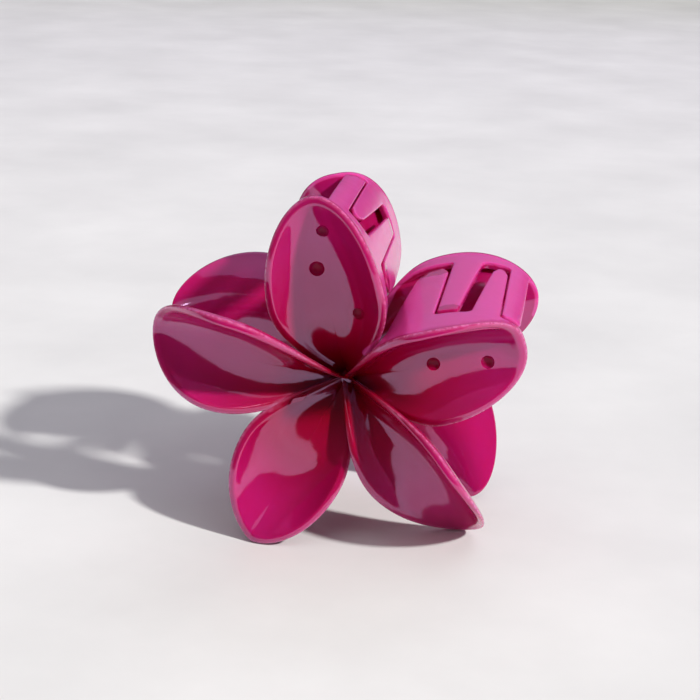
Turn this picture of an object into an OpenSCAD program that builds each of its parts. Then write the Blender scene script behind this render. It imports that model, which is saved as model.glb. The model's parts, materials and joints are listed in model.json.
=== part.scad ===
// Flower hair clip: two equal flower mouldings, hinged back to back on a steel pin and held
// closed by a torsion spring. Each moulding is one flower of five cupped petals; the two petals
// on the biting side carry a band that turns back and ends in teeth, the petal opposite is the
// thumb handle. Millimetres. Z up, the front flower faces -Y, the clip stands on two petals.

/* [Whole clip] */
// Distance from the hinge line to the plane of the petals
face_depth = 18; // [15:0.1:22]
// Height of the flower's centre above the hinge line, towards the teeth
throat_rise = 6.6; // [4:0.1:10]
// Lean of each half that brings its teeth together and spreads the handles
half_lean = 1.2; // [0:0.1:6]
// Turn that stands the clip on a handle petal and a side petal
stand_turn = 30.4; // [25:0.1:36]
// Wall thickness of the mouldings
wall = 1.7; // [1.2:0.1:2.4]
// Width of the raised lip round a petal
lip = 2.2; // [1.2:0.1:3]
// Depth of the throat behind the plane of the petals
throat_depth = 9.8; // [6:0.1:12]

/* [Right toothed petal] */
// Angle from the hinge line
bite_r_angle = 49.9; // [44:0.1:56]
// Length from the throat to the tip
bite_r_length = 39.6; // [34:0.1:46]
// Half width on its left, seen from the throat
bite_r_left = 10.5; // [8:0.1:16]
// Half width on its right
bite_r_right = 12.7; // [8:0.1:16]
// Distance from the throat to the widest place
bite_r_widest = 19.3; // [15:0.1:30]
// Rim height on its left
bite_r_left_rim = 12.7; // [0:0.1:16]
// Rim height on its right
bite_r_right_rim = 2.4; // [0:0.1:16]
// Rim height at the tip
bite_r_tip_rim = 0.4; // [-10:0.1:8]

/* [Left toothed petal] */
// Angle from the hinge line
bite_l_angle = 129.6; // [124:0.1:136]
// Length from the throat to the tip
bite_l_length = 41.7; // [36:0.1:48]
// Half width on its left, seen from the throat
bite_l_left = 12.5; // [8:0.1:16]
// Half width on its right
bite_l_right = 12.6; // [8:0.1:16]
// Distance from the throat to the widest place
bite_l_widest = 19.7; // [15:0.1:30]
// Rim height on its left
bite_l_left_rim = 2.9; // [0:0.1:16]
// Rim height on its right
bite_l_right_rim = 8; // [0:0.1:16]
// Rim height at the tip
bite_l_tip_rim = 2.9; // [-10:0.1:8]

/* [Right side petal] */
// Angle from the hinge line
side_r_angle = -16.8; // [-24:0.1:-8]
// Length from the throat to the tip
side_r_length = 43.2; // [37:0.1:49]
// Half width on its left, seen from the throat
side_r_left = 10.3; // [8:0.1:16]
// Half width on its right
side_r_right = 10.1; // [8:0.1:16]
// Distance from the throat to the widest place
side_r_widest = 22.3; // [15:0.1:30]
// Rim height on its left
side_r_left_rim = 13.5; // [0:0.1:16]
// Rim height on its right
side_r_right_rim = 1.7; // [0:0.1:16]
// Rim height at the tip
side_r_tip_rim = -5.9; // [-10:0.1:8]

/* [Left side petal] */
// Angle from the hinge line
side_l_angle = 196.2; // [188:0.1:204]
// Length from the throat to the tip
side_l_length = 42.9; // [37:0.1:49]
// Half width on its left, seen from the throat
side_l_left = 12.1; // [8:0.1:16]
// Half width on its right
side_l_right = 11.7; // [8:0.1:16]
// Distance from the throat to the widest place
side_l_widest = 24.9; // [15:0.1:30]
// Rim height on its left
side_l_left_rim = 2.9; // [0:0.1:16]
// Rim height on its right
side_l_right_rim = 13.9; // [0:0.1:16]
// Rim height at the tip
side_l_tip_rim = -6.3; // [-10:0.1:8]

/* [Handle petal] */
// Angle from the hinge line
thumb_angle = 271.4; // [264:0.1:278]
// Length from the throat to the tip
thumb_length = 38; // [32:0.1:44]
// Half width on its left, seen from the throat
thumb_left = 10.9; // [8:0.1:16]
// Half width on its right
thumb_right = 13; // [8:0.1:16]
// Distance from the throat to the widest place
thumb_widest = 19.2; // [15:0.1:30]
// Rim height on its left
thumb_left_rim = 2.5; // [0:0.1:16]
// Rim height on its right
thumb_right_rim = 1.2; // [0:0.1:16]
// Rim height at the tip
thumb_tip_rim = 4.9; // [-10:0.1:8]

/* [Teeth] */
// Reach of the round teeth past the middle plane
round_reach = 14.6; // [10:0.1:17]
// Reach of the square teeth past the middle plane
square_reach = 17.4; // [12:0.1:19]
// Distance from the middle plane to the roots of the round teeth
round_root = 19; // [17:0.1:21]
// Distance from the middle plane to the roots of the square teeth
square_root = 18; // [15:0.1:20]
// Gap between a tooth and its neighbour on the other half
tooth_gap = 0.4; // [0.3:0.05:1]
// Where the innermost tooth ends, from the middle of the clip
first_tooth_end = 6.9; // [6:0.05:9]
// Where the second tooth ends at its tip
second_tooth_tip = 10.5; // [9:0.1:12]
// Where the second tooth ends at its root
second_tooth_root = 12.8; // [11:0.1:14]
// Where the third tooth starts at its root
third_tooth_root = 12.9; // [11:0.1:14]
// Where the third tooth starts at its tip
third_tooth_tip = 15.4; // [14:0.1:17]
// Where the third tooth ends
third_tooth_end = 18.8; // [17:0.05:21]
// Where the outermost tooth ends
fourth_tooth_end = 23.6; // [21:0.05:26]

/* [Hinge] */
// Diameter of the hinge pin
pin_d = 2; // [1.5:0.1:3]
// Gap round the pin in its bores
pin_gap = 0.05; // [0.02:0.01:0.1]
// Outer radius of a hinge lug
lug_r = 3.1; // [2.5:0.1:4]
// Thickness of a hinge lug
lug_t = 2.2; // [1.6:0.1:3]
// Distance of the outer lug from the middle of the clip
outer_lug = 9.2; // [8:0.1:12]
// Distance of the inner lug from the middle of the clip
inner_lug = 6.4; // [5:0.1:8]
// Wire diameter of the spring
wire_d = 1.2; // [0.8:0.1:1.6]
// Mean radius of the spring coil
coil_r = 2.3; // [1.8:0.1:3]
// Full turns of the spring coil
coil_turns = 4; // [2:1:6]
// Length of a spring leg
leg_length = 17.6; // [12:0.1:22]
// Angle of a spring leg from the middle plane
leg_angle = 37; // [25:1:50]

/* [Hidden] */

rose = [0.78, 0.08, 0.36];
deep_rose = [0.68, 0.05, 0.30];
steel = [0.72, 0.73, 0.75];

around = 44;        // points round a petal
slim = 0.9;         // fall of the lip to its outer edge
edge = 1.5;         // height of the petal's outer edge
eps = 0.05;
lap = 1.45;         // how far each petal runs past the middle of the throat

// A petal: angle, length, half widths to its left and right, widest place, rim heights at the
// left, right and tip, roll of the rim, roundness of the tip, dish heights in the middle and tip.
p_bite_r = [bite_r_angle, bite_r_length, bite_r_left, bite_r_right, bite_r_widest,
            bite_r_left_rim, bite_r_right_rim, bite_r_tip_rim, 0.7, 0.8, -2, -2.2];
p_bite_l = [bite_l_angle, bite_l_length, bite_l_left, bite_l_right, bite_l_widest,
            bite_l_left_rim, bite_l_right_rim, bite_l_tip_rim, -0.2, 1.08, -1.8, 0];
p_side_r = [side_r_angle, side_r_length, side_r_left, side_r_right, side_r_widest,
            side_r_left_rim, side_r_right_rim, side_r_tip_rim, 3.6, 1, -2.4, -7.8];
p_side_l = [side_l_angle, side_l_length, side_l_left, side_l_right, side_l_widest,
            side_l_left_rim, side_l_right_rim, side_l_tip_rim, 0.9, 1.02, -2.2, -8.2];
p_thumb = [thumb_angle, thumb_length, thumb_left, thumb_right, thumb_widest,
           thumb_left_rim, thumb_right_rim, thumb_tip_rim, 0.9, 1.3, -3, 2.2];
petals = [p_bite_r, p_bite_l, p_side_r, p_side_l, p_thumb];

// ---- Petal surfaces -------------------------------------------------------------------------

// Outline of a petal at angle a round its middle, pulled in by an inset.
function outline(p, a, inset) =
    let (c = cos(a), s = sin(a), w = s >= 0 ? p[2] : p[3],
         v = [(c >= 0 ? p[1] - p[4] : p[4] + lap) * c,
              sign(s) * w * (c >= 0 ? pow(abs(s), p[9]) : pow(cos(90 * min(abs(c), 1)), 1.06))])
    [p[4], 0] + v * max(1 - inset / norm(v), 0);

// Height of the rim at angle a: level values at tip, sides and throat, joined smoothly.
function rim(p, a) =
    let (sides = (p[5] + p[6]) / 2, ends = (p[7] - throat_depth) / 2)
    (ends + sides) / 2 + (p[7] + throat_depth) / 2 * cos(a) + (ends - sides) / 2 * cos(2 * a)
    + (p[5] - p[6]) / 2 * sin(a) + p[8] * sin(2 * a);

// Height of the dish along the middle of the petal.
function dish(p, x) = x < p[4]
    ? -throat_depth + (p[10] + throat_depth) * (1 - pow(1 - max(x, 0) / p[4], 2))
    : p[10] + (p[11] - p[10]) * pow((x - p[4]) / (p[1] - p[4]), 2);

// A point of the petal's bowl, f from 0 in the middle to 1 at the rim.
function bowl(p, a, f, inset, drop) =
    let (q = [p[4], 0] + (outline(p, a, inset) - [p[4], 0]) * f, g = pow(f, 3.5))
    [q.x, q.y, dish(p, q.x) * (1 - g) + rim(p, a) * g - drop];

// From the petal's own frame to the clip: X along the hinge, Z towards the teeth.
function lean(v) = [v.x, v.y * cos(half_lean) + v.z * sin(half_lean),
                    v.z * cos(half_lean) - v.y * sin(half_lean)];
function placed(p, q) = lean([q.x * cos(p[0]) - q.y * sin(p[0]), -q.z - face_depth,
                              q.x * sin(p[0]) + q.y * cos(p[0]) + throat_rise]);

function front_rings(p) = [for (f = [0.3, 0.55, 0.75, 0.9, 1]) [for (i = [0:around - 1])
    placed(p, bowl(p, i * 360 / around, f, lip, 0))]];
function edge_rings(p) = [for (k = [[0.3, slim / 2], [0, slim], [0, slim + edge]])
    [for (i = [0:around - 1]) placed(p, bowl(p, i * 360 / around, 1, k[0], k[1]))]];
function back_rings(p) = [for (f = [0.97, 0.85, 0.65, 0.35]) [for (i = [0:around - 1])
    placed(p, bowl(p, i * 360 / around, f, 0.3, wall + edge * pow(f, 12) / 2))]];
function far_ring(p) = [[for (i = [0:around - 1])
    let (q = outline(p, i * 360 / around, lip)) placed(p, [q.x, q.y, 30])]];

// A closed skin over a stack of rings, with a point at each end.
module skin(start, rings, end) {
    n = len(rings);
    points = concat([start], [for (r = rings) for (v = r) v], [end]);
    last = n * around + 1;
    faces = concat(
        [for (i = [0:around - 1]) [0, 1 + (i + 1) % around, 1 + i]],
        [for (r = [0:n - 2]) for (i = [0:around - 1]) let (a = 1 + r * around, j = (i + 1) % around)
            each [[a + i, a + around + j, a + around + i], [a + i, a + j, a + around + j]]],
        [for (i = [0:around - 1]) [last, last - around + i, last - around + (i + 1) % around]]);
    polyhedron(points, faces, convexity = 6);
}

module petal(p) {
    middle = dish(p, p[4]);
    skin(placed(p, [p[4], 0, middle]), concat(front_rings(p), edge_rings(p), back_rings(p)),
         placed(p, [p[4], 0, middle - wall]));
}

// The open space in front of a petal, used to trim what stands behind it.
module petal_front(p) {
    skin(placed(p, [p[4], 0, 30]), concat(far_ring(p), [for (k = [4:-1:0]) front_rings(p)[k]]),
         placed(p, [p[4], 0, dish(p, p[4])]));
}

// ---- Toothed bands --------------------------------------------------------------------------

band_from = -24;
band_to = 126;
band_steps = 24;
band_back = 20;
function band_edge(p, i, inset) = let (a = band_from + (band_to - band_from) * i / band_steps)
    placed(p, bowl(p, p[0] < 90 ? a : -a, 1, inset, slim + 0.4));

// A band spans from the edge of its own petal p to the edge of the petal q of the other half,
// so that the teeth of both halves lie flush. These are the ends of one rib of it.
function rib(p, q, i, inset) =
    let (from = band_edge(p, i, inset), far = band_edge(q, i, inset),
         run = [-far.x - from.x, -far.y - from.y, far.z - from.z])
    [from, from + run * (band_back - from.y) / run.y];

module band(p, q) {
    points = [for (i = [0:band_steps])
        let (outer = rib(p, q, i, 0.08), inner = rib(p, q, i, wall))
        each [outer[0], outer[1], inner[1], inner[0]]];
    sides = [for (i = [0:band_steps - 1]) for (k = [0:3])
        let (a = 4 * i + k, b = 4 * i + (k + 1) % 4) each [[a, b, b + 4], [a, b + 4, a + 4]]];
    ends = 4 * band_steps;
    faces = concat([[3, 2, 1], [3, 1, 0]], sides,
                   [[ends, ends + 1, ends + 2], [ends, ends + 2, ends + 3]]);
    if (p[0] > 90) polyhedron(points, faces, convexity = 8);
    else polyhedron(points, [for (f = faces) [for (k = [len(f) - 1:-1:0]) f[k]]], convexity = 8);
}

// Plan of the round-tipped teeth on the right petal: a tapered one next to the middle of the
// clip and one that leans outwards.
module right_plan() {
    third_end = third_tooth_end - tooth_gap;
    rounded(0.9) polygon([
        [-3, -35], [-3, -round_root - 3], [0.6, -round_root], [2.8, round_reach - 3],
        [first_tooth_end - 3.2, round_reach - 0.9], [first_tooth_end - 2.2, round_reach],
        [first_tooth_end - 1.2, round_reach], [first_tooth_end, round_reach - 1.4],
        [first_tooth_end, -round_root], [third_tooth_root, -round_root],
        [third_tooth_tip, round_reach - 1.4], [third_tooth_tip + 1, round_reach],
        [third_end - 1, round_reach], [third_end, round_reach - 1.4],
        [third_end, -round_root], [fourth_tooth_end, -round_root - 0.7],
        [31, -round_root - 0.7], [31, -35]]);
}

// Plan of the square-tipped teeth on the left petal.
module left_plan() {
    first_end = first_tooth_end + tooth_gap;
    rounded(0.7) polygon([
        [3, -35], [3, -square_root - 3], [-0.4, -square_root - 1.2],
        [-first_end, -square_root], [-first_end, square_reach], [-second_tooth_tip, square_reach],
        [-second_tooth_root, -square_root], [-third_tooth_end, -square_root],
        [-third_tooth_end, square_reach], [-fourth_tooth_end, square_reach - 2.6],
        [-fourth_tooth_end, -square_root], [-fourth_tooth_end - 0.8, -square_root - 1.7],
        [-31, -square_root - 1.7], [-31, -35]]);
}

// Rounds the inner and outer corners of a plan.
module rounded(r) {
    offset(r = r, $fn = 24) offset(delta = -r)
        offset(r = -r, $fn = 24) offset(delta = r) children();
}

module toothed(p, q) {
    intersection() {
        band(p, q);
        linear_extrude(height = 60) if (p[0] < 90) right_plan(); else left_plan();
    }
}

// ---- Mouldings ------------------------------------------------------------------------------

// Shallow round marks left by the mould's pins in the toothed petals: the petal, the angle round
// its middle, the part of the way out to the rim, and the diameter.
marks = [[p_bite_l, -6, 0.72, 2.6], [p_bite_l, 26, 0.36, 3.1], [p_bite_l, 249, 0.61, 2.6],
         [p_bite_r, 336, 0.04, 2.8], [p_bite_r, 343, 0.67, 2.8]];
mark_depth = 0.8;

module mark(m) {
    translate(placed(m[0], bowl(m[0], m[1], m[2], lip, 0)) + [0, mark_depth, 0])
        rotate([90, 0, 0]) cylinder(d = m[3], h = 4, $fn = 20);
}

// Lugs that carry the hinge, trimmed by the dishes of the petals in front of them.
module lugs() {
    difference() {
        for (x = [outer_lug, -inner_lug]) translate([x - lug_t / 2, 0, 0]) rotate([90, 0, 90])
            linear_extrude(height = lug_t) hull() {
                circle(r = lug_r, $fn = 40);
                translate([-15.5, -5.5]) square([3, 12]);
            }
        for (p = petals) petal_front(p);
    }
}

throat_front = face_depth - throat_depth + 1.6;

// Small boss that closes the bottom of the throat, where the five petals run together.
boss_r = 2.1;
module throat_boss() {
    translate([0, -throat_front, throat_rise]) rotate([-90, 22, 0])
        cylinder(r1 = boss_r, r2 = boss_r + 0.9, h = 3.6, $fn = 14);
}

module flower_shell() {
    difference() {
        union() {
            for (p = petals) petal(p);
            toothed(p_bite_r, p_bite_l);
            toothed(p_bite_l, p_bite_r);
            lugs();
            throat_boss();
        }
        for (m = marks) mark(m);
    }
}

module flower_half() {
    difference() {
        resize([0, 0, 0]) flower_shell();
        translate([-16, 0, 0]) rotate([0, 90, 0]) cylinder(r = pin_d / 2 + pin_gap, h = 32, $fn = 32);
    }
}

// The clip's own frame stood up on its petals, with its middle over the origin.
function stood(v) = [v.x * cos(stand_turn) + v.z * sin(stand_turn), v.y,
                     v.z * cos(stand_turn) - v.x * sin(stand_turn)];
rim_points = [for (p = petals) for (r = edge_rings(p)) for (v = r) for (s = [1, -1])
    stood([s * v.x, s * v.y, v.z])];
shift_x = -(max([for (v = rim_points) v.x]) + min([for (v = rim_points) v.x])) / 2;
shift_z = -min([for (v = rim_points) v.z]);

module standing() { translate([shift_x, 0, shift_z]) rotate([0, stand_turn, 0]) children(); }

module front_flower_jaw() { color(rose) standing() flower_half(); }

module back_flower_jaw() { color(deep_rose) standing() rotate([0, 0, 180]) flower_half(); }

// ---- Pin and spring -------------------------------------------------------------------------

head_t = 0.8;
pin_half = outer_lug + lug_t / 2 + 0.2;

module hinge_pin() {
    color(steel) standing() rotate([0, 90, 0]) {
        translate([0, 0, -pin_half - eps]) cylinder(d = pin_d, h = 2 * (pin_half + eps), $fn = 32);
        for (s = [-1, 1]) translate([0, 0, s * (pin_half + head_t / 2) - head_t / 2])
            cylinder(d = pin_d + 1.4, h = head_t, $fn = 32);
    }
}

coil_pitch = wire_d + 0.12;
coil_sweep = 180 - 2 * leg_angle + 360 * coil_turns;
coil_steps = 18 * coil_turns;
coil_length = coil_pitch * coil_sweep / 360;
function coil_point(i) = let (a = 180 - leg_angle - coil_sweep * i / coil_steps)
    [-coil_length / 2 + coil_length * i / coil_steps, coil_r * cos(a), coil_r * sin(a)];
function leg_end(s) = coil_point(s < 0 ? 0 : coil_steps)
    + leg_length * [0, s * sin(leg_angle), -cos(leg_angle)];
wire_path = concat([leg_end(-1)], [for (i = [0:coil_steps]) coil_point(i)], [leg_end(1)]);
wire_sides = 8;

function unit(v) = v / norm(v);
function wire_ring(i) =
    let (n = len(wire_path), t = unit(wire_path[min(i + 1, n - 1)] - wire_path[max(i - 1, 0)]),
         u = unit(cross(t, [1, 0, 0])), w = cross(t, u))
    [for (k = [0:wire_sides - 1]) let (a = 360 * k / wire_sides)
        wire_path[i] + wire_d / 2 * (cos(a) * u + sin(a) * w)];

module torsion_spring() {
    n = len(wire_path);
    points = [for (i = [0:n - 1]) each wire_ring(i)];
    faces = concat([[for (k = [0:wire_sides - 1]) k]],
        [for (i = [0:n - 2]) for (k = [0:wire_sides - 1])
            let (a = i * wire_sides, j = (k + 1) % wire_sides)
            each [[a + k, a + wire_sides + j, a + j], [a + k, a + wire_sides + k, a + wire_sides + j]]],
        [[for (k = [wire_sides - 1:-1:0]) (n - 1) * wire_sides + k]]);
    color(steel) standing() polyhedron(points, faces, convexity = 8);
}

front_flower_jaw();
back_flower_jaw();
hinge_pin();
torsion_spring();
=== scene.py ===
import json
import math
import bmesh
import bpy
import numpy as np
from mathutils import Matrix, Vector
from mathutils.geometry import delaunay_2d_cdt
from mathutils.kdtree import KDTree


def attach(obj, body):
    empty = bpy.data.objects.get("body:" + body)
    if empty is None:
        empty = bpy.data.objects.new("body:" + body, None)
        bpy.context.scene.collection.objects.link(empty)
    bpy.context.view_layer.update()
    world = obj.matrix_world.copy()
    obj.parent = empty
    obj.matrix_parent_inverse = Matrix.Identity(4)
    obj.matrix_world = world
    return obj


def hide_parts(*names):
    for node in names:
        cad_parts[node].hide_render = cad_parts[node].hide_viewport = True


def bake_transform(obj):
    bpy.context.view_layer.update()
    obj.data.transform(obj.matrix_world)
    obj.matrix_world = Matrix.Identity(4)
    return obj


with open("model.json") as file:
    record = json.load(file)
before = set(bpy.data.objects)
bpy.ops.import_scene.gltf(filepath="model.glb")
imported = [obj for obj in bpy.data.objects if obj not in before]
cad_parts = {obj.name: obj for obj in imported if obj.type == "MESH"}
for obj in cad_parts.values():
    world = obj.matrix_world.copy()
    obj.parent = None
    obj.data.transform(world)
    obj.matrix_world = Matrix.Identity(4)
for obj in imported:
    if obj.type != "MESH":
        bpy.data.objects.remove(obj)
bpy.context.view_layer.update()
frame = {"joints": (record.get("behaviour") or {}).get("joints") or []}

# ---- Sizes of the clip, in millimetres and degrees ------------------------------------------

FACE_DEPTH, THROAT_RISE, HALF_LEAN, STAND_TURN = 18.0, 6.6, 1.2, 30.4
WALL, LIP, THROAT_DEPTH, LAP, SLIM, EDGE = 1.7, 2.2, 9.8, 1.45, 0.9, 1.5
RIDGE, BRIM_DROP = 1.5, 0.65     # where the lip is highest, and its fall from there to the edge
AROUND = 200                     # points round each petal
MM = 0.001

joint = frame["joints"][0]


def cosd(a):
    return np.cos(np.radians(a))


def sind(a):
    return np.sin(np.radians(a))


class Petal:
    """One petal in its own plane: x runs from the throat to the tip, z towards the viewer.

    left, right and widest are the widths of its two sides and the place of the widest point.
    rims are the heights of the edge at the left, the right and the tip, and roll twists them.
    blunt shapes the tip, and dish has the depths of the hollow in the middle and at the tip."""

    def __init__(self, angle, length, left, right, widest, rims, roll, blunt, dish):
        self.angle, self.length, self.widest = angle, length, widest
        self.left, self.right, self.rims, self.roll, self.blunt = left, right, rims, roll, blunt
        self.dish_mid, self.dish_tip = dish

    def outline(self, a, inset):
        c, s = cosd(a), sind(a)
        w = np.where(s >= 0, self.left, self.right)
        vx = np.where(c >= 0, self.length - self.widest, self.widest + LAP) * c
        wide = np.where(c >= 0, np.abs(s) ** self.blunt,
                        np.maximum(np.cos(np.pi / 2 * np.minimum(np.abs(c), 1)), 0) ** 1.06)
        vy = np.sign(s) * w * wide
        n = np.maximum(np.hypot(vx, vy), 1e-9)
        k = np.maximum(1 - inset / n, 0)
        return self.widest + vx * k, vy * k

    def rim(self, a):
        l, r, tip = self.rims
        sides, ends = (l + r) / 2, (tip - THROAT_DEPTH) / 2
        return ((ends + sides) / 2 + (tip + THROAT_DEPTH) / 2 * cosd(a) + (ends - sides) / 2 * cosd(2 * a)
                + (l - r) / 2 * sind(a) + self.roll * sind(2 * a))

    def dish(self, x):
        to_middle = 1 - np.maximum(x, 0) / self.widest
        to_tip = (x - self.widest) / (self.length - self.widest)
        near = -THROAT_DEPTH + (self.dish_mid + THROAT_DEPTH) * (1 - to_middle ** 2)
        far = self.dish_mid + (self.dish_tip - self.dish_mid) * to_tip ** 2
        return np.where(x < self.widest, near, far)

    def bowl(self, a, f, inset, drop):
        ox, oy = self.outline(a, inset)
        x, y = self.widest + (ox - self.widest) * f, oy * f
        g = np.asarray(f, float) ** 3.5
        z = self.dish(x) * (1 - g) + self.rim(a) * g - drop
        return self.placed(x, y, z)

    def placed(self, x, y, z):
        x, y, z = np.broadcast_arrays(np.asarray(x, float), y, z)
        c, s = cosd(self.angle), sind(self.angle)
        cl, sl = cosd(HALF_LEAN), sind(HALF_LEAN)
        u, v, w = x * c - y * s, -z - FACE_DEPTH, x * s + y * c + THROAT_RISE
        return np.stack([u, v * cl + w * sl, w * cl - v * sl], -1)


bite_r = Petal(49.9, 39.6, 10.5, 12.7, 19.3, (12.7, 2.4, 0.4), 0.7, 0.8, (-2, -2.2))
bite_l = Petal(129.6, 41.7, 12.5, 12.6, 19.7, (2.9, 8, 2.9), -0.2, 1.08, (-1.8, 0))
side_r = Petal(-16.8, 43.2, 10.3, 10.1, 22.3, (13.5, 1.7, -5.9), 3.6, 1, (-2.4, -7.8))
side_l = Petal(196.2, 42.9, 12.1, 11.7, 24.9, (2.9, 13.9, -6.3), 0.9, 1.02, (-2.2, -8.2))
thumb = Petal(271.4, 38, 10.9, 13, 19.2, (2.5, 1.2, 4.9), 0.9, 1.3, (-3, 2.2))
PETALS = [bite_r, bite_l, side_r, side_l, thumb]

# ---- Mesh helpers ---------------------------------------------------------------------------


def solid(name, verts, faces):
    """A closed mesh object with its faces turned outwards."""
    mesh = bpy.data.meshes.new(name)
    mesh.from_pydata([tuple(v) for v in np.asarray(verts, float)], [], faces)
    bm = bmesh.new()
    bm.from_mesh(mesh)
    bmesh.ops.recalc_face_normals(bm, faces=bm.faces)
    bm.to_mesh(mesh)
    bm.free()
    obj = bpy.data.objects.new(name, mesh)
    bpy.context.scene.collection.objects.link(obj)
    return obj


def skin(name, rings, start=None, end=None):
    """A skin over closed rings of equal length, with a point or a flat face at each end."""
    n = len(rings[0])
    verts = [v for r in rings for v in r]
    faces = []
    for k in range(len(rings) - 1):
        a = k * n
        faces += [(a + i, a + (i + 1) % n, a + n + (i + 1) % n, a + n + i) for i in range(n)]
    last = (len(rings) - 1) * n
    for point, base in ((start, 0), (end, last)):
        if point is None:
            faces.append(tuple(range(base, base + n)))
        else:
            verts.append(point)
            faces += [(base + i, base + (i + 1) % n, len(verts) - 1) for i in range(n)]
    return solid(name, verts, faces)


def rounded(before, corner, after, radius, steps):
    """Rings that round a corner ring between the ring before it and the ring after it."""
    def reach(other):
        d = other - corner
        n = np.maximum(np.linalg.norm(d, axis=1, keepdims=True), 1e-9)
        return corner + d / n * np.minimum(radius, 0.48 * n)
    b, e = reach(before), reach(after)
    out = []
    for t in np.linspace(0, 1, steps):
        out.append((1 - t) ** 2 * b + 2 * t * (1 - t) * corner + t ** 2 * e)
    return out


def revolve(name, profile, centre, axis, around=48):
    """A body of revolution: profile is (distance along the axis, radius) from end to end."""
    turn = Vector((0, 0, 1)).rotation_difference(Vector(axis)).to_matrix()
    a = np.linspace(0, 2 * np.pi, around, endpoint=False)
    circle = np.stack([np.cos(a), np.sin(a), np.zeros(around)], -1)
    m = np.array(turn)
    rings = [(circle * r + np.array([0, 0, d])) @ m.T + np.array(centre) for d, r in profile]
    ends = [np.array([0, 0, profile[i][0]]) @ m.T + np.array(centre) for i in (0, -1)]
    return skin(name, rings, ends[0], ends[1])


def combine(base, changes):
    """Applies unions and cuts to base one after another and returns the finished mesh object."""
    for k, (operation, other) in enumerate(changes):
        mod = base.modifiers.new("join%d" % k, "BOOLEAN")
        mod.operation, mod.object, mod.solver = operation, other, "MANIFOLD"
    bpy.context.view_layer.update()
    done = bpy.data.meshes.new_from_object(base.evaluated_get(bpy.context.evaluated_depsgraph_get()))
    out = bpy.data.objects.new(base.name + "_done", done)
    bpy.context.scene.collection.objects.link(out)
    for obj in [base] + [other for _, other in changes]:
        mesh = obj.data
        bpy.data.objects.remove(obj)
        if mesh.users == 0:
            bpy.data.meshes.remove(mesh)
    return out


# ---- Petals ---------------------------------------------------------------------------------

ANGLES = np.arange(AROUND) * 360 / AROUND


def petal_front_rings(p):
    return [p.bowl(ANGLES, f, RIDGE, 0) for f in (*np.linspace(0.05, 0.9, 20), 0.93, 0.96, 0.98)]


def petal(p):
    ridge = p.bowl(ANGLES, 1, RIDGE, 0)
    brim = p.bowl(ANGLES, 1, 0, BRIM_DROP)
    foot = p.bowl(ANGLES, 1, 0, SLIM + EDGE)
    back = [p.bowl(ANGLES, f, 0.3, WALL + EDGE * f ** 12 / 2)
            for f in (0.97, 0.92, 0.85, 0.75, 0.65, 0.5, 0.35, 0.2)]
    rings = petal_front_rings(p)[:-2]
    rings += rounded(p.bowl(ANGLES, 0.95, RIDGE, 0), ridge, brim, 0.75, 8)
    rings += rounded(ridge, brim, foot, 0.5, 7)
    rings += rounded(brim, foot, back[0], 0.4, 5)
    rings += back
    z = float(p.dish(p.widest))
    return skin("petal", rings, p.placed(p.widest, 0, z), p.placed(p.widest, 0, z - WALL))


def petal_space(p):
    """The open space in front of a petal."""
    ox, oy = p.outline(ANGLES, RIDGE)
    rings = [p.placed(ox, oy, 30)] + [p.bowl(ANGLES, 1, RIDGE, 0)] + petal_front_rings(p)[::-1]
    z = float(p.dish(p.widest))
    return skin("space", rings, p.placed(p.widest, 0, 30), p.placed(p.widest, 0, z))


# ---- Toothed bands --------------------------------------------------------------------------

BAND_FROM, BAND_TO = -24, 126
BAND_WALL, BAND_ROUND = 1.62, 0.32
ROUND_REACH, SQUARE_REACH = 14.6, 17.4      # tips of the teeth, past the middle plane
ROUND_ROOT, SQUARE_ROOT = 19.0, 18.0        # roots of the teeth, before the middle plane


class Band:
    """The wall behind a toothed petal. It spans from the edge of its own petal to the edge of
    the other half's petal, so that both halves' teeth lie flush. s runs along the petal's edge,
    y straight back and t inwards through the wall."""

    def __init__(self, petal, other):
        a = np.linspace(BAND_FROM, BAND_TO, 241)
        self.side = 1 if petal.angle < 90 else -1
        edge = petal.bowl(a * self.side, 1, 0.08, SLIM + 0.4)
        far = other.bowl(a * -self.side, 1, 0.08, SLIM + 0.4)
        self.x, self.front, self.z = edge[:, 0], edge[:, 1], edge[:, 2]
        self.back = -far[:, 1]
        self.run_x, self.run_z = -far[:, 0] - self.x, far[:, 2] - self.z
        mid_x, mid_z = self.x + self.run_x / 2, self.z + self.run_z / 2
        self.s = np.concatenate([[0], np.cumsum(np.hypot(np.diff(mid_x), np.diff(mid_z)))])
        tx, tz = np.gradient(mid_x, self.s), np.gradient(mid_z, self.s)
        n = np.hypot(tx, tz)
        self.nx, self.nz = -tz / n, tx / n
        to_hollow = (self.x.mean() - self.x[120]) * self.nx[120] + (20 - self.z[120]) * self.nz[120]
        if to_hollow < 0:
            self.nx, self.nz = -self.nx, -self.nz

    def part(self, s, y):
        """How far y is on the way from this petal's edge to the other one's."""
        front, back = np.interp(s, self.s, self.front), np.interp(s, self.s, self.back)
        return (y - front) / (back - front)

    def along(self, x, y):
        """The place s along the band where it has the given x at the given y."""
        here = self.x + self.run_x * self.part(self.s, y)
        order = np.argsort(here)
        return float(np.interp(x, here[order], self.s[order]))

    def point(self, s, y, t):
        s = np.asarray(s, float)
        y, t = np.broadcast_to(y, s.shape), np.broadcast_to(t, s.shape)
        x, z, run_x, run_z, nx, nz = (np.interp(s, self.s, v) for v in (
            self.x, self.z, self.run_x, self.run_z, self.nx, self.nz))
        u = self.part(s, y)
        return np.stack([x + run_x * u + nx * t, y, z + run_z * u + nz * t], -1)


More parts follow.
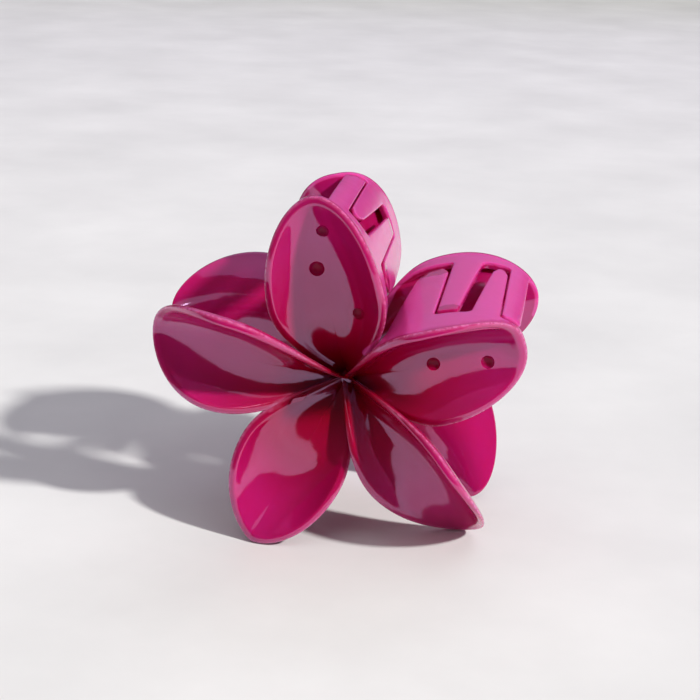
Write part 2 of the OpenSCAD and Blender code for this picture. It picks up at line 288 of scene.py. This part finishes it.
def soft_polygon(corners, spacing=0.6):
    """A closed outline through corners (x, y, radius), rounded and finely divided."""
    n = len(corners)
    pts = np.array([c[:2] for c in corners], float)
    out = []
    for i in range(n):
        p, c, q = pts[i - 1], pts[i], pts[(i + 1) % n]
        r = corners[i][2]
        u, v = (p - c) / np.linalg.norm(p - c), (q - c) / np.linalg.norm(q - c)
        half = math.acos(max(-1, min(1, float(u @ v)))) / 2
        if r <= 0 or half > math.pi / 2 - 0.02:
            arc = [c]
        else:
            reach = min(r / math.tan(half), 0.48 * np.linalg.norm(p - c), 0.48 * np.linalg.norm(q - c))
            r = reach * math.tan(half)
            centre = c + (u + v) / np.linalg.norm(u + v) * r / math.sin(half)
            a, b = c + u * reach - centre, c + v * reach - centre
            turn = math.atan2(a[0] * b[1] - a[1] * b[0], float(a @ b))
            k = max(4, int(abs(turn) * 6) + 1)
            arc = [centre + np.array([a[0] * math.cos(turn * t) - a[1] * math.sin(turn * t),
                                      a[0] * math.sin(turn * t) + a[1] * math.cos(turn * t)])
                   for t in np.linspace(0, 1, k)]
        if out:
            gap = np.linalg.norm(arc[0] - out[-1])
            k = int(gap / spacing)
            out += [out[-1] + (arc[0] - out[-1]) * (j + 1) / (k + 1) for j in range(k)]
        out += arc
    gap = np.linalg.norm(out[0] - out[-1])
    k = int(gap / spacing)
    out += [out[-1] + (out[0] - out[-1]) * (j + 1) / (k + 1) for j in range(k)]
    return np.array(out)


def inset_outline(pts, d):
    """The outline moved inwards by d, along the mean direction of its two sides at each point."""
    area = np.sum(pts[:, 0] * np.roll(pts[:, 1], -1) - np.roll(pts[:, 0], -1) * pts[:, 1])
    sign = 1 if area > 0 else -1
    e1 = pts - np.roll(pts, 1, axis=0)
    e2 = np.roll(pts, -1, axis=0) - pts
    e1 /= np.linalg.norm(e1, axis=1, keepdims=True)
    e2 /= np.linalg.norm(e2, axis=1, keepdims=True)
    t = e1 + e2
    t /= np.linalg.norm(t, axis=1, keepdims=True)
    normal = np.stack([-t[:, 1], t[:, 0]], -1) * sign
    return pts + normal * d


def plate(name, outline, wall, radius, place, grid=0.9):
    """A plate with rounded edges: place(x, y, t) puts a point of its plan at depth t."""
    steps = 5
    inner = inset_outline(outline, radius)
    rings = []
    for k in range(steps):
        q = math.pi / 2 * k / (steps - 1)
        ring = inset_outline(outline, radius * (1 - math.sin(q))) if k < steps - 1 else outline
        rings.append((inner if k == 0 else ring, radius * (1 - math.cos(q))))
    rings = rings + [(r, wall - t) for r, t in rings[::-1]]
    n = len(outline)
    lo, hi = inner.min(0), inner.max(0)
    gx, gy = np.meshgrid(np.arange(lo[0] + grid / 2, hi[0], grid),
                         np.arange(lo[1] + grid / 2, hi[1], grid * 2))
    cloud = np.stack([gx.ravel(), gy.ravel()], -1)
    cloud = cloud[inside(inner, cloud, grid * 0.45)]
    flat = np.vstack([inner, cloud])
    loop = [(i, (i + 1) % n) for i in range(n)]
    out, _, tris, origin, _, _ = delaunay_2d_cdt([Vector(v) for v in flat], loop, [], 1, 1e-7)
    first = [o[0] if o else None for o in origin]
    tris = [[first[i] for i in t] for t in tris]
    verts = [v for ring, t in rings for v in place(ring[:, 0], ring[:, 1], t)]
    faces = []
    for k in range(len(rings) - 1):
        a = k * n
        faces += [(a + i, a + (i + 1) % n, a + n + (i + 1) % n, a + n + i) for i in range(n)]
    for depth, base in ((0.0, 0), (wall, (len(rings) - 1) * n)):
        start = len(verts)
        verts += list(place(cloud[:, 0], cloud[:, 1], depth))
        faces += [tuple(base + i if i < n else start + i - n for i in t) for t in tris]
    return solid(name, verts, faces)


def inside(outline, pts, margin):
    """Which points lie inside the outline and at least margin from it."""
    hit = np.zeros(len(pts), bool)
    near = np.full(len(pts), 1e9)
    for (x1, y1), (x2, y2) in zip(outline, np.roll(outline, -1, axis=0)):
        crosses = (y1 > pts[:, 1]) != (y2 > pts[:, 1])
        with np.errstate(divide="ignore", invalid="ignore"):
            at = (x2 - x1) * (pts[:, 1] - y1) / (y2 - y1) + x1
        hit ^= crosses & (pts[:, 0] < at)
        d = np.array([x2 - x1, y2 - y1])
        t = np.clip(((pts - [x1, y1]) @ d) / max(d @ d, 1e-12), 0, 1)
        near = np.minimum(near, np.linalg.norm(pts - ([x1, y1] + t[:, None] * d), axis=1))
    return hit & (near > margin)


TIP_LENGTH = 3.2                 # length of the rounded end of a round tooth
BAND_END_DEPTH = -20             # y at which the ends of a band are measured


def toothed_band(petal, other):
    """A band with its teeth, from corners (x, y, radius) given in the clip's own frame."""
    band = Band(petal, other)
    if band.side > 0:
        bend = ROUND_REACH - TIP_LENGTH
        teeth = [(1.1, -ROUND_ROOT, 1.2), (2.2, bend - 1.5, 4.0), (3.6, ROUND_REACH, 1.5),
                 (5.8, ROUND_REACH, 1.5), (6.9, bend, 3.0), (6.9, -ROUND_ROOT, 1.3),
                 (12.9, -ROUND_ROOT, 1.6), (15.1, bend, 3.0), (16.1, ROUND_REACH, 1.2),
                 (17.5, ROUND_REACH, 1.2), (18.4, bend, 3.0), (18.4, -ROUND_ROOT, 1.0)]
        ends = (22, 0.35)
    else:
        teeth = [(-7.3, -SQUARE_ROOT, 0.9), (-7.3, SQUARE_REACH, 0.8), (-10.5, SQUARE_REACH, 0.8),
                 (-12.8, -SQUARE_ROOT, 1.4), (-18.8, -SQUARE_ROOT, 1.4), (-18.8, SQUARE_REACH, 0.8),
                 (-23.6, SQUARE_REACH - 2.6, 0.8), (-23.6, -SQUARE_ROOT - 0.2, 0.5)]
        ends = (-24.6, 0.45)
    s_lo, s_hi = (band.along(x, BAND_END_DEPTH) for x in ends)
    front_at = lambda s: float(np.interp(s, band.s, band.front)) - 0.15
    back = [(s_hi, max(front_at(s_hi) + 1.4, -22.0), 0.5)]
    back += [(band.along(x, y), y, r) for x, y, r in teeth]
    back += [(s_lo, front_at(s_lo) + 1.2, 0.4)]
    front = [(s, front_at(s), 0) for s in np.linspace(s_lo, s_hi, 46)]
    return plate("band", soft_polygon(back + front), BAND_WALL, BAND_ROUND, band.point)


# ---- Lugs, throat, marks --------------------------------------------------------------------

LUG_R, LUG_T, LUG_PLACES = 3.1, 2.2, (9.2, -6.4)
PIN_R, BORE_R = 1.0, 1.05
# Round marks: petal, angle and share of the way to its edge, diameter and depth.
MARKS = [(bite_l, -6, 0.72, 2.6, 0.8), (bite_l, 26, 0.36, 3.1, 1.1), (bite_l, 249, 0.61, 2.6, 0.8),
         (bite_r, 336, 0.04, 2.8, 0.8), (bite_r, 343, 0.67, 2.8, 0.8)]


def hull(pts):
    pts = sorted(map(tuple, pts))

    def half(points):
        out = []
        for q in points:
            while len(out) > 1 and ((out[-1][0] - out[-2][0]) * (q[1] - out[-2][1])
                                    - (out[-1][1] - out[-2][1]) * (q[0] - out[-2][0])) <= 1e-9:
                out.pop()
            out.append(q)
        return out[:-1]
    return np.array(half(pts) + half(pts[::-1]))


def lug(x):
    a = np.linspace(0, 2 * np.pi, 64, endpoint=False)
    ring = [(LUG_R * math.cos(t), LUG_R * math.sin(t)) for t in a]
    shape = hull(ring + [(-15.5, -5.5), (-12.5, -5.5), (-12.5, 6.5), (-15.5, 6.5)])
    place = lambda u, v, t: np.stack([np.broadcast_to(x - LUG_T / 2 + t, u.shape), u, v], -1)
    return plate("lug", shape, LUG_T, 0.35, place, 2.5)


def mark_place(p, angle, f):
    return p.bowl(np.array([float(angle)]), f, LIP, 0)[0]


def mark(p, angle, f, diameter, depth):
    r = diameter / 2
    profile = [(depth, r * 0.1), (depth * 0.96, r * 0.35), (depth * 0.8, r * 0.65), (depth * 0.5, r * 0.88),
               (0.1, r), (-0.1, r * 1.03), (-0.35, r * 1.15), (-2, r * 1.6)]
    return revolve("mark", profile, mark_place(p, angle, f), (0, 1, 0), 40)


def moulding(name):
    shells = [petal(p) for p in PETALS]
    spaces = [petal_space(p) for p in PETALS]
    lugs = [lug(x) for x in LUG_PLACES]
    lug_pair = combine(lugs[0], [("UNION", lugs[1])] + [("DIFFERENCE", s) for s in spaces])
    boss = revolve("boss", [(-0.9, 0.4), (-0.75, 0.9), (-0.4, 1.4), (0.2, 1.9), (2.0, 3.0)],
                   (0, -8.2, THROAT_RISE), (0, 1, 0), 40)
    bore = revolve("bore", [(-16, BORE_R), (16, BORE_R)], (0, 0, 0), (1, 0, 0), 40)
    steps = [("UNION", s) for s in shells[1:]]
    steps += [("UNION", toothed_band(bite_r, bite_l)), ("UNION", toothed_band(bite_l, bite_r))]
    steps += [("UNION", lug_pair), ("UNION", boss)]
    steps += [("DIFFERENCE", mark(*m)) for m in MARKS]
    steps += [("DIFFERENCE", bore)]
    done = combine(shells[0], steps)
    done.name = done.data.name = name
    return done


# ---- Placing in the row frame ---------------------------------------------------------------

HINGE = Vector(joint["pos_m"])


def stood(turned):
    """The matrix from the clip's own frame, in millimetres, to the row frame, in metres."""
    half = Matrix.Rotation(math.pi if turned else 0, 4, "Z")
    tipped = Matrix.Rotation(math.radians(STAND_TURN), 4, "Y")
    return Matrix.Translation(HINGE) @ tipped @ Matrix.Scale(MM, 4) @ half


def smooth(obj, angle):
    obj.data.polygons.foreach_set("use_smooth", np.ones(len(obj.data.polygons), bool))
    obj.data.set_sharp_from_angle(angle=math.radians(angle))


def band_points(petal, other):
    """A net of points over a band, from just behind the petal's edge."""
    band = Band(petal, other)
    s = band.s[::3]
    rows = [np.interp(s, band.s, band.front) + 1.2 + 0.8 * k for k in range(48)]
    points = np.concatenate([band.point(s, y, 0) for y in rows])
    return points[points[:, 1] < FACE_DEPTH]


def add_attribute(mesh, name, values):
    attribute = mesh.attributes.new(name, "FLOAT", "POINT")
    attribute.data.foreach_set("value", np.asarray(values, np.float32))


def nearest(points, targets):
    """Distance from each point to the nearest target, by way of a search tree."""
    tree = KDTree(len(targets))
    for i, v in enumerate(targets):
        tree.insert(v, i)
    tree.balance()
    return np.array([tree.find(v)[2] for v in points])


front = moulding("front_flower")

# Distances in millimetres that the plastic's colour follows: from the throat, from the outer
# edges of the petals, from the toothed bands, and from the middles of the round marks as a
# share of their radius.
co = np.array([v.co for v in front.data.vertices])
add_attribute(front.data, "from_throat",
              np.linalg.norm(co - np.array([0, -FACE_DEPTH + THROAT_DEPTH, THROAT_RISE]), axis=1))
add_attribute(front.data, "from_rim",
              nearest(co, np.concatenate([p.bowl(ANGLES, 1, 0, BRIM_DROP) for p in PETALS])))
add_attribute(front.data, "from_band",
              nearest(co, np.concatenate([band_points(bite_r, bite_l), band_points(bite_l, bite_r)])))
mark_shares = [np.linalg.norm(co - mark_place(p, a, f), axis=1) * 2 / d for p, a, f, d, _ in MARKS]
add_attribute(front.data, "from_mark", np.min(mark_shares, axis=0))
back = bpy.data.objects.new("back_flower", front.data.copy())
bpy.context.scene.collection.objects.link(back)
front.data.transform(stood(False))
back.data.transform(stood(True))
for obj in (front, back):
    smooth(obj, 32)

# ---- Pin and spring -------------------------------------------------------------------------

PIN_HALF, HEAD_R, HEAD_T = 10.5, 1.7, 0.8


def arc(d0, r0, size, start, steps=6):
    """Quarter round of a profile from the flat to the side, or back when start is 90."""
    out = []
    for k in range(steps):
        q = math.radians(start + 90 * k / (steps - 1))
        out.append((d0 - size * math.cos(q), r0 + size * math.sin(q)))
    return out


pin_profile = [(-PIN_HALF - HEAD_T, 0.4)] + arc(-PIN_HALF - HEAD_T + 0.35, HEAD_R - 0.35, 0.35, 0)
pin_profile += [(-PIN_HALF - 0.1, HEAD_R), (-PIN_HALF, HEAD_R - 0.1), (-PIN_HALF, PIN_R)]
pin_profile += [(0, PIN_R)]
pin_profile += [(-d, r) for d, r in pin_profile[::-1][1:]]
pin = revolve("steel_pin", pin_profile, (0, 0, 0), (1, 0, 0), 48)
pin.data.transform(stood(False))
smooth(pin, 40)

WIRE_D, COIL_R, COIL_TURNS, LEG_LENGTH, LEG_ANGLE = 1.2, 2.3, 4, 17.6, 37
WIRE_END = 0.25                  # how far the wire's ends are rounded
coil_sweep = 180 - 2 * LEG_ANGLE + 360 * COIL_TURNS
coil_length = (WIRE_D + 0.12) * coil_sweep / 360


def coil_point(t):
    a = 180 - LEG_ANGLE - coil_sweep * t
    return np.array([-coil_length / 2 + coil_length * t, COIL_R * cosd(a), COIL_R * sind(a)])


def spring():
    leg = lambda s: np.array([0, s * sind(LEG_ANGLE), -cosd(LEG_ANGLE)])
    first, last = coil_point(0.0), coil_point(1.0)
    path = [first + leg(-1) * LEG_LENGTH * t for t in np.linspace(1, 0.04, 26)]
    path += [coil_point(t) for t in np.linspace(0, 1, 44 * COIL_TURNS + 1)]
    path += [last + leg(1) * LEG_LENGTH * t for t in np.linspace(0.04, 1, 26)]
    path = np.array(path)
    tangent = np.gradient(path, axis=0)
    tangent /= np.linalg.norm(tangent, axis=1, keepdims=True)
    side = np.cross(tangent, [1.0, 0, 0])
    side /= np.linalg.norm(side, axis=1, keepdims=True)
    other = np.cross(tangent, side)
    a = np.linspace(0, 2 * np.pi, 18, endpoint=False)
    wire = lambda i, r: (path[i] + r * (np.cos(a)[:, None] * side[i] + np.sin(a)[:, None] * other[i]))
    r = WIRE_D / 2
    end = len(path) - 1
    round_in = {0: tangent[0] * WIRE_END, end: -tangent[-1] * WIRE_END}
    rings = [wire(0, r * sind(q)) - tangent[0] * WIRE_END * cosd(q) + tangent[0] * WIRE_END
             for q in (15, 40, 65)]
    rings += [wire(i, r) + round_in.get(i, 0) for i in range(len(path))]
    rings += [wire(end, r * sind(q)) + tangent[-1] * WIRE_END * cosd(q) - tangent[-1] * WIRE_END
              for q in (65, 40, 15)]
    return skin("torsion_spring_wire", rings, path[0], path[-1])


spring_wire = spring()
spring_wire.data.transform(stood(False))
smooth(spring_wire, 50)

# ---- Materials ------------------------------------------------------------------------------


def material(name):
    m = bpy.data.materials.new(name)
    m.use_nodes = True
    return m, m.node_tree.nodes, m.node_tree.links, m.node_tree.nodes["Principled BSDF"]


def ramp(nodes, stops):
    node = nodes.new("ShaderNodeValToRGB")
    elements = node.color_ramp.elements
    elements[0].position, elements[0].color = stops[0][0], (*stops[0][1], 1)
    elements[1].position, elements[1].color = stops[-1][0], (*stops[-1][1], 1)
    for position, colour in stops[1:-1]:
        e = elements.new(position)
        e.color = (*colour, 1)
    return node


def noise(nodes, links, vector, scale, detail=3.0, rough=0.5):
    node = nodes.new("ShaderNodeTexNoise")
    node.inputs["Scale"].default_value = scale
    node.inputs["Detail"].default_value = detail
    node.inputs["Roughness"].default_value = rough
    links.new(vector, node.inputs["Vector"])
    return node.outputs["Fac"]


def map_range(nodes, links, value, low, high, to_low, to_high):
    node = nodes.new("ShaderNodeMapRange")
    for key, v in (("From Min", low), ("From Max", high), ("To Min", to_low), ("To Max", to_high)):
        node.inputs[key].default_value = v
    links.new(value, node.inputs["Value"])
    return node.outputs["Result"]


def attribute(nodes, name):
    node = nodes.new("ShaderNodeAttribute")
    node.attribute_name = name
    return node.outputs["Fac"]


def math_node(nodes, links, operation, a, b):
    node = nodes.new("ShaderNodeMath")
    node.operation = operation
    for k, v in enumerate((a, b)):
        if isinstance(v, (int, float)):
            node.inputs[k].default_value = v
        else:
            links.new(v, node.inputs[k])
    return node.outputs[0]


def mix_colour(nodes, links, share, a, b):
    node = nodes.new("ShaderNodeMix")
    node.data_type = "RGBA"
    links.new(share, node.inputs["Factor"])
    links.new(a, node.inputs["A"])
    node.inputs["B"].default_value = (*b, 1)
    return node.outputs["Result"]


def plastic(name, index):
    """The moulded plastic. index is its refractive index, lower where the face is dull."""
    m, nodes, links, shader = material(name)
    where = nodes.new("ShaderNodeTexCoord").outputs["Object"]
    from_throat = attribute(nodes, "from_throat")
    reach = map_range(nodes, links, from_throat, 0.0, 34.0, 0.0, 1.0)
    wobble = map_range(nodes, links, noise(nodes, links, where, 45, 2.0), 0.3, 0.7, -0.09, 0.09)
    # The colour darkens towards the throat: painted shade in the deep throat, with a little random tone.
    throat_shade_colours = ramp(nodes, [(0.0, (0.13, 0.0, 0.001)), (0.2, (0.22, 0.0, 0.010)),
                           (0.5, (0.33, 0.001, 0.036)), (1.0, (0.42, 0.006, 0.115))])
    links.new(math_node(nodes, links, "ADD", reach, wobble), throat_shade_colours.inputs["Fac"])
    # The outer edges of the petals are painted paler and lilac: partly a painted highlight for the lilac
    # reflections on the rounded lips, partly real wear, which also makes them rougher.
    edge = map_range(nodes, links, attribute(nodes, "from_rim"), 0.15, 0.75, 0.42, 0.0)
    specks = map_range(nodes, links, noise(nodes, links, where, 900, 3.0), 0.35, 0.65, 0.55, 1.3)
    outer = map_range(nodes, links, from_throat, 10.0, 20.0, 0.0, 1.0)
    wear_and_highlight = math_node(nodes, links, "MULTIPLY", math_node(nodes, links, "MULTIPLY", edge, specks), outer)
    colour = mix_colour(nodes, links, wear_and_highlight, throat_shade_colours.outputs["Color"], (0.66, 0.22, 0.45))
    # The toothed bands are thinner. They are painted lighter and pinker: a painted glow for light shining
    # through the thin plastic and falling on their upper faces.
    on_band = map_range(nodes, links, attribute(nodes, "from_band"), 0.55, 0.85, 1.0, 0.0)
    band_glow_share = math_node(nodes, links, "MULTIPLY", on_band, 0.8)
    colour = mix_colour(nodes, links, band_glow_share, colour, (0.68, 0.065, 0.33))
    # The round marks are painted darker: painted shade in their recesses.
    in_mark = map_range(nodes, links, attribute(nodes, "from_mark"), 0.75, 1.05, 0.75, 0.0)
    colour = mix_colour(nodes, links, in_mark, colour, (0.20, 0.0, 0.018))
    links.new(colour, shader.inputs["Base Color"])
    fine = map_range(nodes, links, noise(nodes, links, where, 260, 4.0), 0.3, 0.7, 0.05, 0.13)
    worn_rough = math_node(nodes, links, "MULTIPLY", wear_and_highlight, 0.5)
    band_rough = math_node(nodes, links, "MULTIPLY", on_band, 0.14)
    rough = math_node(nodes, links, "ADD", worn_rough, band_rough)
    rough = math_node(nodes, links, "ADD", rough, math_node(nodes, links, "MULTIPLY", in_mark, 0.5))
    links.new(math_node(nodes, links, "ADD", fine, rough), shader.inputs["Roughness"])
    shader.inputs["IOR"].default_value = index
    shader.inputs["Specular Tint"].default_value = (0.85, 0.56, 0.98, 1)
    shader.inputs["Subsurface Weight"].default_value = 0.5
    shader.inputs["Subsurface Radius"].default_value = (1.0, 0.12, 0.3)
    shader.inputs["Subsurface Scale"].default_value = 0.004
    shader.inputs["Coat Weight"].default_value = 0.12
    shader.inputs["Coat Roughness"].default_value = 0.02
    bump = nodes.new("ShaderNodeBump")
    bump.inputs["Strength"].default_value = 0.25
    bump.inputs["Distance"].default_value = 0.0004
    links.new(noise(nodes, links, where, 170, 2.0), bump.inputs["Height"])
    links.new(bump.outputs["Normal"], shader.inputs["Normal"])
    return m


def steel():
    m, nodes, links, shader = material("drawn_steel")
    where = nodes.new("ShaderNodeTexCoord").outputs["Object"]
    grain = noise(nodes, links, where, 900, 4.0)
    tone = ramp(nodes, [(0.3, (0.52, 0.52, 0.54)), (0.7, (0.72, 0.72, 0.73))])
    links.new(grain, tone.inputs["Fac"])
    links.new(tone.outputs["Color"], shader.inputs["Base Color"])
    links.new(map_range(nodes, links, grain, 0.3, 0.7, 0.2, 0.34), shader.inputs["Roughness"])
    shader.inputs["Metallic"].default_value = 1.0
    return m


def floor_paint():
    m, nodes, links, shader = material("pale_floor")
    where = nodes.new("ShaderNodeTexCoord").outputs["Object"]
    patches = noise(nodes, links, where, 14, 5.0, 0.6)
    tone = ramp(nodes, [(0.3, (0.70, 0.70, 0.69)), (0.7, (0.78, 0.78, 0.77))])
    links.new(patches, tone.inputs["Fac"])
    links.new(tone.outputs["Color"], shader.inputs["Base Color"])
    links.new(map_range(nodes, links, patches, 0.3, 0.7, 0.6, 0.75), shader.inputs["Roughness"])
    return m


GLOSSY_INDEX, DULL_INDEX = 2.2, 1.3
rose, dull_rose = plastic("rose_plastic", GLOSSY_INDEX), plastic("dull_plastic", DULL_INDEX)
bright_steel = steel()
for obj, body, slot, node, look in (
        (front, "front_half", "flower_plastic", "front_flower_jaw", rose),
        (back, "back_half", "flower_plastic", "back_flower_jaw", rose),
        (pin, "front_half", "steel", "hinge_pin", bright_steel),
        (spring_wire, None, "steel", "torsion_spring", bright_steel)):
    obj.data.materials.clear()
    obj.data.materials.append(look)
    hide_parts(node)
    if body:
        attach(obj, body)

# The round marks are dull: every face within this share of a mark's radius.
MARK_SHARE = 1.02
for obj in (front, back):
    obj.data.materials.append(dull_rose)
    share = np.empty(len(obj.data.vertices), np.float32)
    obj.data.attributes["from_mark"].data.foreach_get("value", share)
    for polygon in obj.data.polygons:
        if share[list(polygon.vertices)].max() < MARK_SHARE:
            polygon.material_index = 1

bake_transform(spring_wire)

# ---- Floor, light and camera ----------------------------------------------------------------

bpy.ops.mesh.primitive_plane_add(size=6.0, location=(0, 1.0, 0))
floor = bpy.context.object
floor.name = "floor"
floor.data.materials.append(floor_paint())


def aimed(obj, place, target):
    obj.location = place
    obj.rotation_euler = (Vector(target) - Vector(place)).to_track_quat("-Z", "Y").to_euler()
    bpy.context.scene.collection.objects.link(obj)


def direction(azimuth, elevation):
    """From the object towards a place azimuth degrees to the right of the front, elevation above."""
    a, e = math.radians(azimuth), math.radians(elevation)
    return Vector((math.sin(a) * math.cos(e), -math.cos(a) * math.cos(e), math.sin(e)))


middle = Vector((0, 0, 0.035))
key = bpy.data.objects.new("key", bpy.data.lights.new("key", "SUN"))
key.data.energy, key.data.angle, key.data.color = 4.0, math.radians(4), (1.0, 0.985, 0.96)
aimed(key, middle + direction(62, 36), middle)


def panel(name, azimuth, elevation, distance, size, power, colour):
    light = bpy.data.lights.new(name, "AREA")
    light.shape, light.size, light.size_y, light.energy, light.color = "RECTANGLE", *size, power, colour
    obj = bpy.data.objects.new(name, light)
    aimed(obj, middle + direction(azimuth, elevation) * distance, middle)
    return obj


panel("back_panel", 180, 36, 1.1, (1.7, 1.0), 2.2, (0.72, 0.62, 1.0))
panel("window", 38, 54, 1.0, (0.5, 0.5), 0.4, (0.9, 0.92, 1.0))
panel("lamp", 40, 50, 1.0, (0.06, 0.06), 0.16, (1.0, 0.98, 0.95))
fill = panel("front_fill", -40, 42, 1.0, (1.2, 1.2), 2.8, (1.0, 0.98, 0.98))
top = panel("top_fill", 120, 78, 1.0, (1.2, 1.2), 3.6, (0.98, 0.96, 1.0))
# The big fills and the sun would only leave square or blinding reflections.
for light in (fill, top, key):
    light.visible_glossy = False

world = bpy.data.worlds.new("studio")
bpy.context.scene.world = world
world.use_nodes = True
sky, sky_links = world.node_tree.nodes, world.node_tree.links
sky["Background"].inputs["Color"].default_value = (0.84, 0.88, 1.0, 1)
sky["Background"].inputs["Strength"].default_value = 0.03
# Past the floor's edge the camera sees a pale backdrop, which lights nothing.
backdrop = sky.new("ShaderNodeBackground")
backdrop.inputs["Color"].default_value = (0.80, 0.80, 0.81, 1)
seen = sky.new("ShaderNodeLightPath").outputs["Is Camera Ray"]
either = sky.new("ShaderNodeMixShader")
for k, source in enumerate((seen, sky["Background"].outputs[0], backdrop.outputs[0])):
    sky_links.new(source, either.inputs[k])
sky_links.new(either.outputs[0], sky["World Output"].inputs["Surface"])

AZIMUTH, ELEVATION, ROLL, DISTANCE = 7.40, 18.64, 1.33, 0.36
SENSOR_MM, LENS_MM = 36, 84.0548571
camera = bpy.data.objects.new("camera", bpy.data.cameras.new("camera"))
bpy.context.scene.collection.objects.link(camera)
camera.location = HINGE + direction(AZIMUTH, ELEVATION) * DISTANCE
look_at = (HINGE - camera.location).to_track_quat("-Z", "Y").to_matrix().to_4x4()
camera.matrix_world = (Matrix.Translation(camera.location) @ look_at
                       @ Matrix.Rotation(math.radians(ROLL), 4, "Z"))
camera.data.sensor_width, camera.data.lens = SENSOR_MM, LENS_MM
camera.data.shift_x, camera.data.shift_y = 0.0210, 0.0577
camera.data.clip_start, camera.data.clip_end = 0.01, 20
bpy.context.scene.camera = camera
bpy.context.scene.view_settings.view_transform = "Standard"
